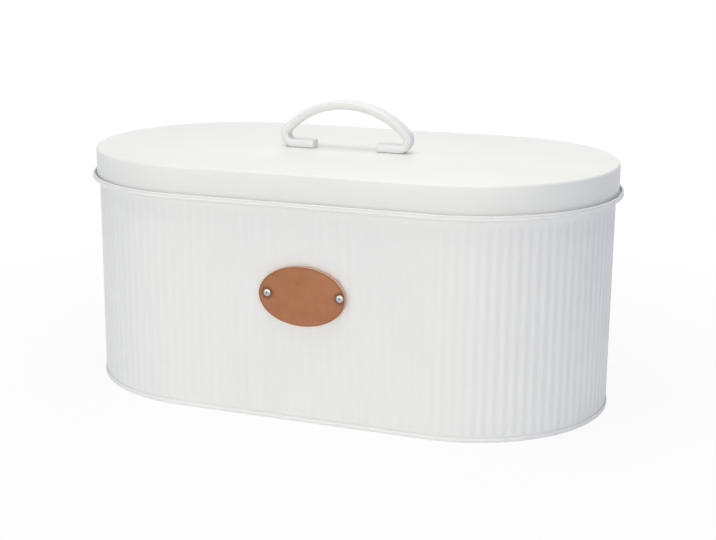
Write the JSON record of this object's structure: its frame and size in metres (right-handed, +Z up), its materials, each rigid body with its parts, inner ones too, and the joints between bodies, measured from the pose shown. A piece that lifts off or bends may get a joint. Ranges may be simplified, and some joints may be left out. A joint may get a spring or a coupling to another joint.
{
  "type": "bread box",
  "caption": "Oval ribbed sheet-steel bread box with a flat lift-off lid, a bent flat-bar handle and a leather oval badge on the front.",
  "frame": {"origin": "on the floor, under the middle of the box's plan", "axes": "+X along the box's length, -Y towards the side with the badge, +Z up"},
  "size_m": [0.3862, 0.2086, 0.2054],
  "materials": {
    "white_coating": "satin powder coat",
    "handle_coating": "satin powder coat",
    "tan_leather": "smooth vegetable-tanned",
    "rivet_steel": "bright plated",
    "stem_steel": "dull broken end",
    "screw_steel": "zinc plated"
  },
  "bodies": {
    "bin": {"bin_wall": "white_coating", "base_pan": "white_coating", "badge": "tan_leather", "badge_rivets": "rivet_steel", "rivet_stems": "stem_steel"},
    "lid": {"lid_pan": "white_coating", "handle": "handle_coating", "handle_screws": "screw_steel", "handle_washers": "screw_steel"}
  },
  "joints": [
    {"name": "lid_lift", "type": "slide", "parent": "bin", "child": "lid", "axis": [0, 0, 1], "range_m": [0, 0.15]}
  ]
}
